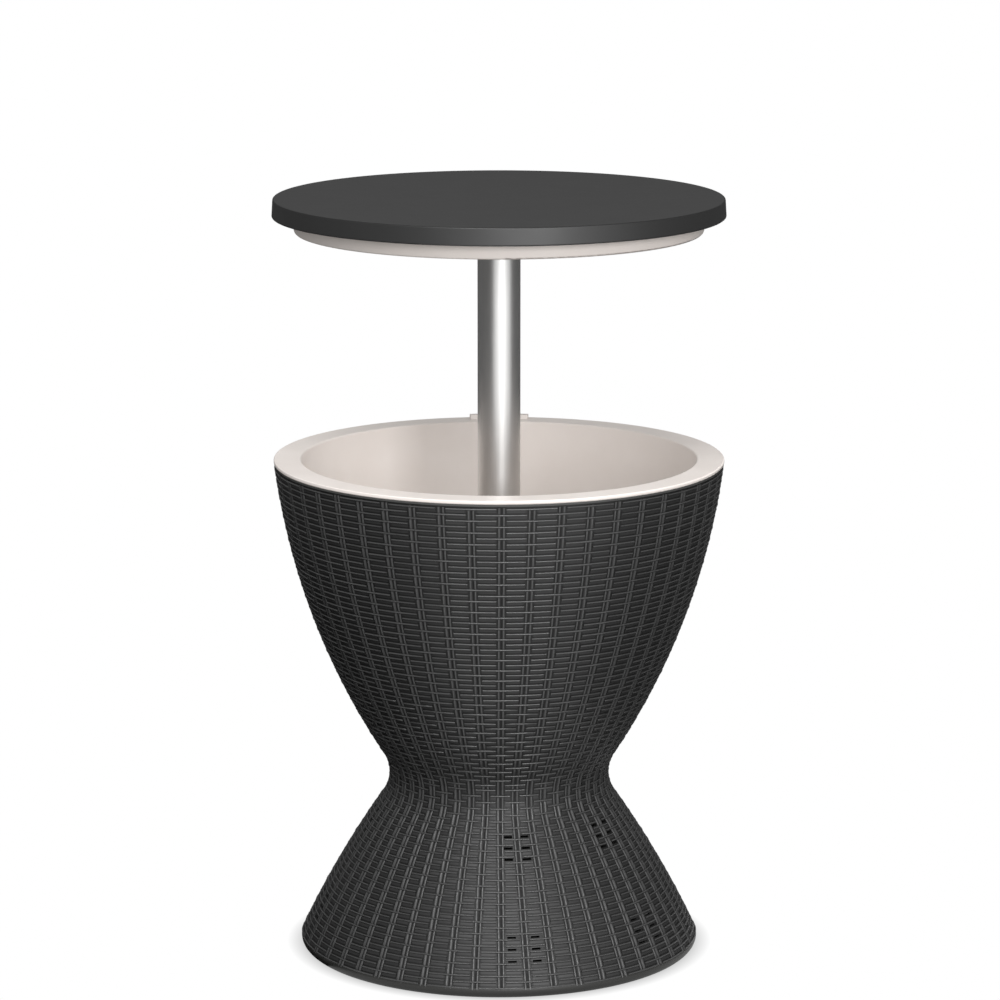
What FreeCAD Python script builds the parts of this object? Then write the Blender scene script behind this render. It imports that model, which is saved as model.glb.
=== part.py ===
"""Ice bucket coffee table: a woven-look resin pedestal with an ice bucket, and a tabletop that lifts on a pole.

The origin is the centre of the base on the ground, +Z is up and the front faces -Y. Lengths are millimetres
and angles are degrees. The table is modelled raised and locked, as a bar table.
"""
import FreeCAD
import Part
import os
import re
import Sketcher

SIZES = {
    # Heights of the whole table
    "lift_stroke": 250,         # travel of the tabletop from coffee height to bar height
    "raised_gap": 13.118,       # from the bush to the lock ring when raised; it and the stroke set the rim
    "seat_gap": 0.3,            # left between the pan and the ring when lowered
    "pan_depth": 17.3,          # pan that shows below the skirt
    "skirt_depth": 19.4,        # edge of the tabletop
    # Outline shared by the two woven shells: a waist between two long arcs that are tangent to it
    "shell_wall": 3,
    "waist_radius": 121.1,
    "waist_height": 194.8,
    "waist_curve": 47.5,
    "bowl_lean": 32.7,          # lean of the wall from upright where the waist meets the bowl
    "bowl_curve": 778.5,
    "flare_lean": 34.7,         # lean of the wall from upright where the waist meets the base's flare
    "flare_curve": 1088,
    # Base shell
    "seam_rise": 11.2,          # from the waist up to where the body shell stands on the base
    "foot_roll": 7.5,
    "foot_width": 26,
    "foot_lip": 8,
    "base_deck": 4,
    "base_opening": 98,
    "spigot_height": 7,
    "spigot_wall": 3,
    "spigot_clearance": 0.4,
    # Vent slots in the base's flare, between the stakes of the weave
    "stake_count": 48,
    "vent_bearing": 4,          # of the first column of slots, from the front
    "vent_groups": 8,
    "vent_width": 9.5,
    "vent_height": 2.4,
    "upper_vents": 155.8,       # height of the top slot of the upper three
    "upper_vent_step": 10.75,
    "lower_vents": 60,
    "lower_vent_step": 11.6,
    # Body shell
    "ledge_wall": 4,            # ledge that carries the bucket's floor
    "ledge_bore": 98,
    "boss_circle": 105,
    "boss_radius": 6,
    "base_screw_count": 6,
    # Ice bucket
    "bucket_wall": 3,
    "bucket_floor_radius": 106,
    "throat_radius": 217.5,
    "bucket_curve": 620,
    "bucket_corner": 14,
    "throat_round": 2,
    "ring_wall": 4.2,
    "ring_overhang": 1.5,
    "ring_round": 1.3,
    "rib_depth": 8,
    "rib_wall": 2.5,
    "rib_clearance": 1.6,
    "lug_inset": 14.9,          # from the ring's edge in to the far side of the lug
    "lug_width": 12,
    "lug_height": 4.5,
    "lug_slope": 1.5,
    "lug_angle": 16,
    # Post and its foot
    "post_radius": 20,
    "tube_wall": 1.5,
    "flange_radius": 58,
    "flange_plate": 5,
    "flange_socket": 20,
    "flange_socket_radius": 25,
    "flange_fillet": 4,
    "post_seat": 2,
    "socket_fit": 0.1,
    "gasket_wall": 1.5,
    "gasket_bore": 30,
    "bolt_circle": 46,
    "bolt_count": 4,
    "bolt_radius": 3,
    "bolt_head": 4,
    "bolt_head_radius": 6,
    "bolt_clearance": 0.3,
    "bolt_bite": 12,            # depth of thread below the bucket's floor
    "bolt_tail": 2,             # left under a bolt's end
    "foot_boss_radius": 8,      # blind bosses under the bucket's floor, so that no bolt goes through it
    "foot_boss_depth": 14,
    "foot_rib_depth": 10,
    "foot_rib_wall": 2.5,
    "pin_radius": 2.5,
    "pin_height": 12,           # of the cross pin above the flange's plate
    "pin_head": 1.5,
    "pin_head_radius": 4,
    # Twist lock at the post's top
    "headroom": 3.5,            # left over the cam screw when the tabletop is lowered
    "plug_length": 25,
    "collar_height": 8,
    "cam_radius": 12,
    "cam_offset": 3,
    "cam_fit": 0.05,
    "ring_height": 20,
    "ring_float": 0.3,
    "ring_slit": 2,
    "washer_wall": 2,
    "washer_gap": 1,
    "cam_screw_depth": 18,
    # Sliding tube
    "tube_radius": 23.5,
    "running_fit": 0.1,
    "bush_fit": 0.05,
    "bush_collar": 4,
    "bush_length": 25,
    "lowered_gap": 1.5,         # between the bush and the flange's socket when lowered
    # Pole head
    "head_radius": 56,
    "head_plate": 5,
    "head_seat": 3,
    "head_socket": 14,
    "head_socket_radius": 28,
    "head_fillet": 4,
    "head_circle": 44,
    "head_screw_count": 4,
    "tube_screw_drop": 8,
    "tube_screw_count": 3,
    # Tabletop
    "table_radius": 247.5,
    "cover_wall": 3,
    "cover_draft": 1.2,
    "cover_round": 1.5,
    "skirt_round": 1.4,
    "hub_radius": 62,
    "hub_depth": 8,
    "table_rib_count": 12,
    "table_rib_depth": 7,
    "table_rib_wall": 2.5,
    "table_rib_gap": 4,         # from a rib's end to the ring of screw bosses
    "pan_wall": 3,
    "pan_inset": 19.5,          # from the cover's edge to the top of the pan's wall
    "pan_lean": 5.5,            # how far the wall runs in on its way down
    "pan_round": 3,
    "pan_recess": 3,            # pan's flange above the skirt's edge
    "pan_fit": 0.8,
    "pole_gap": 1,
    "pan_screw_count": 8,
    "pan_screw_inset": 7.5,     # from the flange's rim to its screws
    "pan_boss_radius": 4.5,
    # Self-tapping screws
    "screw_radius": 2.1,
    "screw_head": 2.5,
    "screw_head_radius": 4,
    "screw_fit": 0.1,
    "screw_bite": 6.5,          # depth of thread in the plastic
    # Drain
    "drain_offset": 78,
    "drain_flange_radius": 15,
    "drain_flange": 3,
    "drain_tube_radius": 10,
    "drain_bore": 8,
    "drain_tail": 8,
    "drain_nut_height": 6,
    "drain_nut_across": 28,
    "drain_clearance": 0.3,
    "stopper_length": 12,
    "stopper_head": 4,
    "stopper_head_radius": 12,
    "stopper_neck_radius": 4,
    "stopper_neck": 6,
    "stopper_knob_radius": 7,
}

doc = FreeCAD.newDocument("coffee_table")
sheet = doc.addObject("Spreadsheet::Sheet", "Sizes")
for row, (word, size) in enumerate(SIZES.items(), start=1):
    sheet.set(f"A{row}", str(size))
    sheet.setAlias(f"A{row}", word)
doc.recompute()


def in_sheet(words):
    """An expression in plain size names, with each name read from the sheet."""
    return re.sub(r"[a-z_]+", lambda found: f"Sizes.{found[0]}" if found[0] in SIZES else found[0], words)


def value(words):
    """What an expression comes to now."""
    return float(sheet.evalExpression(in_sheet(words)))


def bind(feature, path, words):
    """Tie a property of a feature to an expression in size names."""
    feature.setExpression(path, in_sheet(words))


def new_body(label, up="0", across="0"):
    """A sub-part whose own origin stands at a height, and a distance to the right of the axis."""
    body = doc.addObject("PartDesign::Body", label)
    body.Label = label
    bind(body, "Placement.Base.z", up)
    bind(body, "Placement.Base.x", across)
    return body


def datum(body, role):
    """One of a body's own origin planes or axes."""
    return next(feature for feature in body.Origin.OriginFeatures if feature.Role == role)


def new_sketch(body, plane="XZ_Plane", lift="0"):
    """An empty sketch on one of the body's origin planes, lifted along its normal."""
    sketch = body.newObject("Sketcher::SketchObject", f"{body.Label}_sketch")
    sketch.AttachmentSupport = [(datum(body, plane), "")]
    sketch.MapMode = "FlatFace"
    bind(sketch, "AttachmentOffset.Base.z", lift)
    return sketch


def hold(sketch, kind, where, words):
    """Add a measured constraint to a sketch and tie it to an expression."""
    number = sketch.addConstraint(Sketcher.Constraint(kind, *where, value(words)))
    bind(sketch, f"Constraints[{number}]", words)


def arc_between(start, end, radius):
    """The short arc between two points, which curves left for a positive radius and right for a negative."""
    chord = end - start
    left = FreeCAD.Vector(-chord.y, chord.x, 0).normalize()
    rise = (radius ** 2 - (chord.Length / 2) ** 2) ** 0.5
    centre = (start + end) / 2 + left * (rise if radius > 0 else -rise)
    first, last = (start, end) if radius > 0 else (end, start)
    circle = Part.Circle(centre, FreeCAD.Vector(0, 0, 1), abs(radius))
    return Part.ArcOfCircle(circle, circle.parameter(first), circle.parameter(last))


def outline(sketch, corners):
    """Close an outline. A corner is (across, up), with a signed radius where the side that ends there is an arc.
    """
    points = [FreeCAD.Vector(value(corner[0]), value(corner[1]), 0) for corner in corners]
    ends = []
    for number, corner in enumerate(corners):
        start, end = points[number - 1], points[number]
        if len(corner) == 3:
            side = sketch.addGeometry(arc_between(start, end, value(corner[2])))
            ends.append((side, 1, 2) if value(corner[2]) > 0 else (side, 2, 1))
        else:
            side = sketch.addGeometry(Part.LineSegment(start, end))
            ends.append((side, 1, 2))
    for number, corner in enumerate(corners):
        last_side, _, last_end = ends[number - 1]
        side, first, end = ends[number]
        sketch.addConstraint(Sketcher.Constraint("Coincident", last_side, last_end, side, first))
        hold(sketch, "DistanceX", (-1, 1, side, end), corner[0])
        hold(sketch, "DistanceY", (-1, 1, side, end), corner[1])
        if len(corner) == 3:
            hold(sketch, "Radius", (side,), corner[2].lstrip("-"))
    return sketch


def circle(sketch, radius, across="0", up="0"):
    """Add a circle to a sketch."""
    centre = FreeCAD.Vector(value(across), value(up), 0)
    side = sketch.addGeometry(Part.Circle(centre, FreeCAD.Vector(0, 0, 1), value(radius)))
    hold(sketch, "DistanceX", (-1, 1, side, 3), across)
    hold(sketch, "DistanceY", (-1, 1, side, 3), up)
    hold(sketch, "Radius", (side,), radius)
    return sketch


def slot(sketch, width, height, across, up):
    """Add a level rectangle round a centre to a sketch."""
    left, right = (f"{across} {sign} {width} / 2" for sign in "-+")
    low, high = (f"{up} {sign} {height} / 2" for sign in "-+")
    return outline(sketch, [(left, low), (right, low), (right, high), (left, high)])


def hexagon(sketch, across_flats, across="0"):
    """Add a hexagon with its centre on the sketch's first axis."""
    corner_radius = f"{across_flats} / sqrt(3)"
    return outline(sketch, [
        (f"{across} + {corner_radius} * cos({60 * corner})", f"{corner_radius} * sin({60 * corner})")
        for corner in range(6)
    ])


def finish_feature(body, feature):
    """Recompute, so that the next feature can read this one, and make it the body's result."""
    body.Tip = feature
    doc.recompute()
    return feature


def revolve(body, sketch, angle=None):
    """Turn an outline round the sketch's upright axis, all the way or by an angle to both sides."""
    feature = body.newObject("PartDesign::Revolution", f"{body.Label}_turned")
    feature.Profile = sketch
    feature.ReferenceAxis = (sketch, ["V_Axis"])
    if angle:
        feature.Midplane = True
        bind(feature, "Angle", angle)
    return finish_feature(body, feature)


def pad(body, sketch, length, down=False):
    """Raise a sketch by a length along its normal, or against it."""
    feature = body.newObject("PartDesign::Pad", f"{body.Label}_pad")
    feature.Profile = sketch
    feature.Reversed = down
    bind(feature, "Length", length)
    return finish_feature(body, feature)


def pocket(body, sketch, depth, up=False, through=False):
    """Cut a sketch into the body against its normal, or along it, or both ways at once."""
    feature = body.newObject("PartDesign::Pocket", f"{body.Label}_pocket")
    feature.Profile = sketch
    feature.Reversed = up
    feature.Midplane = through
    bind(feature, "Length", depth)
    return finish_feature(body, feature)


def around(body, features, count):
    """Repeat features in equal steps round the body's upright axis."""
    pattern = body.newObject("PartDesign::PolarPattern", f"{body.Label}_pattern")
    pattern.Originals = features
    pattern.Axis = (datum(body, "Z_Axis"), [""])
    pattern.Angle = 360
    bind(pattern, "Occurrences", count)
    return finish_feature(body, pattern)


def round_rings(body, feature, rings, radius):
    """Fillet the round edges that lie at the given (radius, height) places of a turned piece."""
    wanted = [(value(across), value(up)) for across, up in rings]
    names = []
    for number, edge in enumerate(feature.Shape.Edges, start=1):
        if not isinstance(edge.Curve, Part.Circle):
            continue
        place = (edge.Curve.Radius, edge.Curve.Center.z)
        if any(abs(place[0] - across) + abs(place[1] - up) < 0.01 for across, up in wanted):
            names.append(f"Edge{number}")
    fillet = body.newObject("PartDesign::Fillet", f"{body.Label}_fillet")
    fillet.Base = (feature, names)
    bind(fillet, "Radius", radius)
    return finish_feature(body, fillet)


def drill(body, lift, radius, depth, across, count, up=False):
    """Drill a ring of holes from a height."""
    hole = pocket(body, circle(new_sketch(body, "XY_Plane", lift), radius, across), depth, up)
    return around(body, [hole], count)


def screws(label, up, across, count, radius, length, head_radius, head, hang=False):
    """A ring of like screws, the heads above the height and the shanks below it, or the other way up."""
    body = new_body(label, up)
    shank = pad(body, circle(new_sketch(body, "XY_Plane"), radius, across), length, down=not hang)
    cap = pad(body, circle(new_sketch(body, "XY_Plane"), head_radius, across), head, down=hang)
    if count:
        around(body, [shank, cap], count)
    return body


# Outline of the woven shells
WAIST_CENTRE = "(waist_radius + waist_curve)"
BOWL_CENTRE = (f"({WAIST_CENTRE} - (waist_curve + bowl_curve) * cos(bowl_lean))",
               "(waist_height + (waist_curve + bowl_curve) * sin(bowl_lean))")
FLARE_CENTRE = (f"({WAIST_CENTRE} - (waist_curve + flare_curve) * cos(flare_lean))",
                "(waist_height - (waist_curve + flare_curve) * sin(flare_lean))")


def waist_at(height, inset="0"):
    """Radius of the waist at a height, at a depth inside the wall."""
    return f"({WAIST_CENTRE} - sqrt((waist_curve + {inset})^2 - ({height} - waist_height)^2))"


def bowl_at(height, inset="0"):
    """Radius of the bowl at a height, at a depth inside the wall."""
    return f"({BOWL_CENTRE[0]} + sqrt((bowl_curve - {inset})^2 - ({height} - {BOWL_CENTRE[1]})^2))"


def flare_at(height, inset="0"):
    """Radius of the base's flare at a height, at a depth inside the wall."""
    return f"({FLARE_CENTRE[0]} + sqrt((flare_curve - {inset})^2 - ({height} - {FLARE_CENTRE[1]})^2))"


def bowl_tangent(inset="0"):
    """Where the waist meets the bowl, at a depth inside the wall."""
    return (f"({WAIST_CENTRE} - (waist_curve + {inset}) * cos(bowl_lean))",
            f"(waist_height + (waist_curve + {inset}) * sin(bowl_lean))")


def flare_tangent(inset="0"):
    """Where the waist meets the flare, at a depth inside the wall."""
    return (f"({WAIST_CENTRE} - (waist_curve + {inset}) * cos(flare_lean))",
            f"(waist_height - (waist_curve + {inset}) * sin(flare_lean))")


# Levels and radii that several pieces share: the shells set the bucket's floor, and the lock's stack the rest
SEAM = "(waist_height + seam_rise)"
LEDGE_TOP = bowl_tangent("shell_wall")[1]
LEDGE_UNDERSIDE = f"({LEDGE_TOP} - ledge_wall)"
BUCKET_FLOOR = f"({LEDGE_TOP} + bucket_wall)"
SPIGOT_RADIUS = f"({waist_at(SEAM, 'shell_wall')} - spigot_clearance)"
FLANGE_FACE = f"({BUCKET_FLOOR} + gasket_wall)"
FLANGE_TOP = f"({FLANGE_FACE} + flange_plate)"
POST_FOOT = f"({FLANGE_FACE} + post_seat)"
TUBE_BORE = "(tube_radius - tube_wall)"
TUBE_BOTTOM = f"({FLANGE_TOP} + flange_socket + lowered_gap + lift_stroke + bush_collar)"
CAM_TOP = f"({TUBE_BOTTOM} + bush_length + raised_gap + ring_height + ring_float)"
CAM_HEIGHT = "(ring_height + 2 * ring_float)"
POST_TOP = f"({CAM_TOP} - {CAM_HEIGHT} - collar_height)"
TUBE_TOP = f"({CAM_TOP} + washer_wall + bolt_head + headroom + lift_stroke)"
HEAD_FACE = f"({TUBE_TOP} - head_seat)"
HUB_FACE = f"({HEAD_FACE} + head_plate)"
SKIRT_EDGE = f"({HUB_FACE} + hub_depth + cover_wall - skirt_depth)"
PAN_FLOOR = f"({SKIRT_EDGE} - pan_depth)"
RIM = f"({PAN_FLOOR} - lift_stroke - seat_gap)"
RING_UNDERSIDE = f"({RIM} - ring_wall)"
RING_RADIUS = f"({bowl_at(RING_UNDERSIDE)} + ring_overhang)"
LUG_RADIUS = f"({RING_RADIUS} - lug_inset)"
BOLT_HOLE = "(bolt_radius + bolt_clearance)"
SCREW_HOLE = "(screw_radius + screw_fit)"
DRAIN_HOLE = "(drain_tube_radius + drain_clearance)"
PAN_RADIUS = "(table_radius - pan_inset)"
PAN_FLOOR_RADIUS = f"({PAN_RADIUS} - pan_lean)"
PAN_FLANGE_RADIUS = "(table_radius - cover_wall - pan_fit)"
PAN_SCREW_CIRCLE = f"({PAN_FLANGE_RADIUS} - pan_screw_inset)"


def base_shell():
    """Lower flared shell: rolled foot, deck with a spigot for the body shell, and holes for its screws."""
    body = new_body("base_shell")
    deck = f"({SEAM} - base_deck)"
    foot = flare_at("0")
    turned = revolve(body, outline(new_sketch(body), [
        (waist_at(SEAM), SEAM),
        (*flare_tangent(), "waist_curve"),
        (foot, "0", "-flare_curve"),
        (f"{foot} - foot_width", "0"),
        (f"{foot} - foot_width", "foot_lip"),
        (f"{foot} - foot_width + shell_wall", "foot_lip"),
        (f"{foot} - foot_width + shell_wall", "shell_wall"),
        (flare_at("shell_wall", "shell_wall"), "shell_wall"),
        (*flare_tangent("shell_wall"), "(flare_curve - shell_wall)"),
        (waist_at(deck, "shell_wall"), deck, "-(waist_curve + shell_wall)"),
        ("base_opening", deck),
        ("base_opening", SEAM),
        (f"{SPIGOT_RADIUS} - spigot_wall", SEAM),
        (f"{SPIGOT_RADIUS} - spigot_wall", f"{SEAM} + spigot_height"),
        (SPIGOT_RADIUS, f"{SEAM} + spigot_height"),
        (SPIGOT_RADIUS, SEAM),
    ]))
    rolled = round_rings(body, turned, [(foot, "0")], "foot_roll")
    inner_foot = (flare_at("shell_wall", "shell_wall"), "shell_wall")
    round_rings(body, rolled, [inner_foot], "foot_roll - shell_wall")
    drill(body, SEAM, SCREW_HOLE, "base_deck", "boss_circle", "base_screw_count")
    vents = new_sketch(body)
    for bearing in ("vent_bearing", "(vent_bearing + 360 / stake_count)"):
        for row in range(3):
            upper = f"(upper_vents - {row} * upper_vent_step)"
            lower = f"(lower_vents - {row} * lower_vent_step)"
            slot(vents, "vent_width", "vent_height", f"{flare_at(upper)} * sin({bearing})", upper)
            slot(vents, "vent_width", "vent_height", f"{flare_at(lower)} * sin({bearing})", lower)
    cut = pocket(body, vents, "table_radius", up=True)
    around(body, [cut], "vent_groups")


def body_shell():
    """Upper bowl-shaped shell, with the ledge that carries the bucket and bosses that take the base's screws."""
    body = new_body("body_shell")
    revolve(body, outline(new_sketch(body), [
        (waist_at(SEAM), SEAM),
        (*bowl_tangent(), "-waist_curve"),
        (bowl_at(RING_UNDERSIDE), RING_UNDERSIDE, "bowl_curve"),
        (bowl_at(RING_UNDERSIDE, "shell_wall"), RING_UNDERSIDE),
        (*bowl_tangent("shell_wall"), "-(bowl_curve - shell_wall)"),
        ("ledge_bore", LEDGE_TOP),
        ("ledge_bore", LEDGE_UNDERSIDE),
        (waist_at(LEDGE_UNDERSIDE, "shell_wall"), LEDGE_UNDERSIDE),
        (waist_at(SEAM, "shell_wall"), SEAM, "(waist_curve + shell_wall)"),
    ]))
    seam = new_sketch(body, "XY_Plane", SEAM)
    boss = pad(body, circle(seam, "boss_radius", "boss_circle"), f"{LEDGE_UNDERSIDE} - {SEAM}")
    around(body, [boss], "base_screw_count")
    drill(body, SEAM, SCREW_HOLE, "screw_bite", "boss_circle", "base_screw_count", up=True)


def ice_bucket():
    """Bucket with a wide flat ring round its mouth, a rib that centres it in the shell and a lug at the back."""
    body = new_body("ice_bucket")
    rib = f"({bowl_at(RING_UNDERSIDE, 'shell_wall')} - rib_clearance)"
    turned = revolve(body, outline(new_sketch(body), [
        ("0", BUCKET_FLOOR),
        ("bucket_floor_radius", BUCKET_FLOOR),
        ("throat_radius", RIM, "bucket_curve"),
        (RING_RADIUS, RIM),
        (RING_RADIUS, RING_UNDERSIDE),
        (rib, RING_UNDERSIDE),
        (rib, f"{RING_UNDERSIDE} - rib_depth"),
        (f"{rib} - rib_wall", f"{RING_UNDERSIDE} - rib_depth"),
        (f"{rib} - rib_wall", RING_UNDERSIDE),
        ("throat_radius + bucket_wall", RING_UNDERSIDE),
        ("bucket_floor_radius + bucket_wall", LEDGE_TOP, "-bucket_curve"),
        ("0", LEDGE_TOP),
    ]))
    corner = round_rings(body, turned, [("bucket_floor_radius", BUCKET_FLOOR)], "bucket_corner")
    edge = round_rings(body, corner, [("throat_radius", RIM)], "throat_round")
    round_rings(body, edge, [(RING_RADIUS, RIM), (RING_RADIUS, RING_UNDERSIDE)], "ring_round")
    revolve(body, outline(new_sketch(body, "YZ_Plane"), [
        (LUG_RADIUS, RIM),
        (f"{LUG_RADIUS} + lug_width", RIM),
        (f"{LUG_RADIUS} + lug_width - lug_slope", f"{RIM} + lug_height"),
        (f"{LUG_RADIUS} + lug_slope", f"{RIM} + lug_height"),
    ]), "lug_angle")
    underside = new_sketch(body, "XY_Plane", LEDGE_TOP)
    boss = pad(body, circle(underside, "foot_boss_radius", "bolt_circle"), "foot_boss_depth", down=True)
    beside = new_sketch(body, "XY_Plane", LEDGE_TOP)
    rib = slot(beside, "bolt_circle", "foot_rib_wall", "bolt_circle / 2", "0")
    around(body, [boss, pad(body, rib, "foot_rib_depth", down=True)], "bolt_count")
    drill(body, BUCKET_FLOOR, "bolt_radius + screw_fit", "bolt_bite + bolt_tail", "bolt_circle", "bolt_count")
    outlet = circle(new_sketch(body, "XY_Plane", BUCKET_FLOOR), DRAIN_HOLE, "-drain_offset")
    pocket(body, outlet, "bucket_wall")


def post_flange():
    """Foot of the post: a bolted plate with a blind socket."""
    body = new_body("post_flange", FLANGE_FACE)
    top = "(flange_plate + flange_socket)"
    turned = revolve(body, outline(new_sketch(body), [
        ("0", "0"),
        ("flange_radius", "0"),
        ("flange_radius", "flange_plate"),
        ("flange_socket_radius", "flange_plate"),
        ("flange_socket_radius", top),
        ("post_radius + socket_fit", top),
        ("post_radius + socket_fit", "post_seat"),
        ("0", "post_seat"),
    ]))
    round_rings(body, turned, [("flange_socket_radius", "flange_plate")], "flange_fillet")
    drill(body, "flange_plate", BOLT_HOLE, "flange_plate", "bolt_circle", "bolt_count")
    pin = circle(new_sketch(body), "pin_radius + screw_fit", up="flange_plate + pin_height")
    pocket(body, pin, "2 * flange_radius", through=True)


def post_gasket():
    """Rubber ring between the flange and the bucket's floor."""
    body = new_body("post_gasket", BUCKET_FLOOR)
    face = circle(circle(new_sketch(body, "XY_Plane"), "flange_radius"), "gasket_bore")
    pad(body, face, "gasket_wall")
    drill(body, "gasket_wall", BOLT_HOLE, "gasket_wall", "bolt_circle", "bolt_count")


def post_pin():
    """Headed cross pin through the flange's socket and the post."""
    body = new_body("post_pin", f"{FLANGE_TOP} + pin_height")
    reach = "flange_socket_radius"
    shank = pad(body, circle(new_sketch(body), "pin_radius"), f"2 * {reach}")
    shank.Midplane = True
    head = pad(body, circle(new_sketch(body, lift=reach), "pin_head_radius"), "pin_head")
    around(body, [head], "2")


def inner_post():
    """Fixed tube that stands in the flange and guides the sliding tube."""
    body = new_body("inner_post", POST_FOOT)
    face = circle(circle(new_sketch(body, "XY_Plane"), "post_radius"), "post_radius - tube_wall")
    pad(body, face, f"{POST_TOP} - {POST_FOOT}")
    pin = circle(new_sketch(body), "pin_radius + screw_fit", up=f"{FLANGE_TOP} + pin_height - {POST_FOOT}")
    pocket(body, pin, "3 * post_radius", through=True)


def cam_plug():
    """Plug in the post's top: a collar that guides the tube and an off-centre cam for the twist lock."""
    body = new_body("cam_plug", POST_TOP)
    ground = "XY_Plane"
    pad(body, circle(new_sketch(body, ground), "post_radius - tube_wall - cam_fit"), "plug_length", down=True)
    pad(body, circle(new_sketch(body, ground), f"{TUBE_BORE} - running_fit"), "collar_height")
    cam = circle(new_sketch(body, ground, "collar_height"), "cam_radius", "cam_offset")
    pad(body, cam, CAM_HEIGHT)
    top = f"collar_height + {CAM_HEIGHT}"
    pocket(body, circle(new_sketch(body, ground, top), "bolt_radius + cam_fit"), "cam_screw_depth + bolt_tail")


def lock_ring():
    """Split ring round the cam. Locked, its off-centre bore lies across the cam and wedges; a quarter turn
    lines the two up and frees it."""
    body = new_body("lock_ring", f"{POST_TOP} + collar_height + ring_float")
    face = circle(new_sketch(body, "XY_Plane"), f"{TUBE_BORE} - running_fit")
    circle(face, "cam_radius + sqrt(2) * cam_offset + cam_fit", up="-cam_offset")
    pad(body, face, "ring_height")
    pocket(body, outline(new_sketch(body, "XY_Plane", "ring_height"), [
        ("-ring_slit / 2", "cam_radius"),
        ("ring_slit / 2", "cam_radius"),
        ("ring_slit / 2", "tube_radius"),
        ("-ring_slit / 2", "tube_radius"),
    ]), "ring_height")


def cam_washer():
    """Washer that keeps the lock ring on the cam."""
    body = new_body("cam_washer", CAM_TOP)
    face = circle(circle(new_sketch(body, "XY_Plane"), f"{TUBE_BORE} - washer_gap"), BOLT_HOLE)
    pad(body, face, "washer_wall")


def outer_tube():
    """Bright tube that carries the tabletop and slides over the post."""
    body = new_body("outer_tube", TUBE_BOTTOM)
    face = circle(circle(new_sketch(body, "XY_Plane"), "tube_radius"), TUBE_BORE)
    pad(body, face, f"{TUBE_TOP} - {TUBE_BOTTOM}")
    level = f"{HEAD_FACE} - tube_screw_drop - {TUBE_BOTTOM}"
    side = circle(new_sketch(body, "YZ_Plane", f"{TUBE_BORE} - tube_wall"), SCREW_HOLE, up=level)
    hole = pocket(body, side, "3 * tube_wall", up=True)
    around(body, [hole], "tube_screw_count")


def guide_bush():
    """Plastic bush in the tube's lower end that runs on the post."""
    body = new_body("guide_bush", f"{TUBE_BOTTOM} - bush_collar")
    revolve(body, outline(new_sketch(body), [
        ("post_radius + running_fit", "0"),
        ("tube_radius", "0"),
        ("tube_radius", "bush_collar"),
        (f"{TUBE_BORE} - bush_fit", "bush_collar"),
        (f"{TUBE_BORE} - bush_fit", "bush_collar + bush_length"),
        ("post_radius + running_fit", "bush_collar + bush_length"),
    ]))


def pole_head():
    """Flange inside the tabletop, with the socket that holds the tube."""
    body = new_body("pole_head", HEAD_FACE)
    turned = revolve(body, outline(new_sketch(body), [
        ("0", "head_plate"),
        ("0", "head_seat"),
        ("tube_radius + socket_fit", "head_seat"),
        ("tube_radius + socket_fit", "-head_socket"),
        ("head_socket_radius", "-head_socket"),
        ("head_socket_radius", "0"),
        ("head_radius", "0"),
        ("head_radius", "head_plate"),
    ]))
    round_rings(body, turned, [("head_socket_radius", "0")], "head_fillet")
    drill(body, "head_plate", SCREW_HOLE, "head_plate", "head_circle", "head_screw_count")
    side = circle(new_sketch(body, "YZ_Plane", "tube_radius"), SCREW_HOLE, up="-tube_screw_drop")
    hole = pocket(body, side, "head_socket_radius", up=True)
    around(body, [hole], "tube_screw_count")


def tube_screws():
    """Screws through the pole head's socket into the tube's wall, flush inside so that the lock passes them."""
    body = new_body("tube_screws", f"{HEAD_FACE} - tube_screw_drop")
    inside = f"({TUBE_BORE} + screw_fit)"
    shank = circle(new_sketch(body, "YZ_Plane", inside), "screw_radius")
    shank = pad(body, shank, f"head_socket_radius - {inside}")
    outer = new_sketch(body, "YZ_Plane", "head_socket_radius")
    cap = pad(body, circle(outer, "screw_head_radius"), "screw_head")
    around(body, [shank, cap], "tube_screw_count")


def tabletop_cover():
    """Round top with a skirt, a hub for the pole head, radial ribs and bosses for the pan's screws."""
    body = new_body("tabletop_cover", SKIRT_EDGE)
    ceiling = "(skirt_depth - cover_wall)"
    hub = f"({ceiling} - hub_depth)"
    top_radius = "(table_radius - cover_draft)"
    turned = revolve(body, outline(new_sketch(body), [
        ("table_radius", "0"),
        (top_radius, "skirt_depth"),
        ("0", "skirt_depth"),
        ("0", hub),
        ("hub_radius", hub),
        ("hub_radius", ceiling),
        (f"{top_radius} - cover_wall", ceiling),
        ("table_radius - cover_wall", "0"),
    ]))
    edge = round_rings(body, turned, [(top_radius, "skirt_depth")], "cover_round")
    round_rings(body, edge, [("table_radius", "0")], "skirt_round")
    rib_end = f"({PAN_SCREW_CIRCLE} - pan_boss_radius - table_rib_gap)"
    rib = pad(body, outline(new_sketch(body, "XY_Plane", ceiling), [
        ("hub_radius - table_rib_wall", "-table_rib_wall / 2"),
        (rib_end, "-table_rib_wall / 2"),
        (rib_end, "table_rib_wall / 2"),
        ("hub_radius - table_rib_wall", "table_rib_wall / 2"),
    ]), "table_rib_depth", down=True)
    around(body, [rib], "table_rib_count")
    flange_top = "(pan_recess + pan_wall)"
    face = circle(new_sketch(body, "XY_Plane", flange_top), "pan_boss_radius", PAN_SCREW_CIRCLE)
    boss = pad(body, face, f"{ceiling} - {flange_top}")
    around(body, [boss], "pan_screw_count")
    drill(body, flange_top, SCREW_HOLE, "screw_bite", PAN_SCREW_CIRCLE, "pan_screw_count", up=True)
    drill(body, hub, SCREW_HOLE, "screw_bite", "head_circle", "head_screw_count", up=True)


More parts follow.
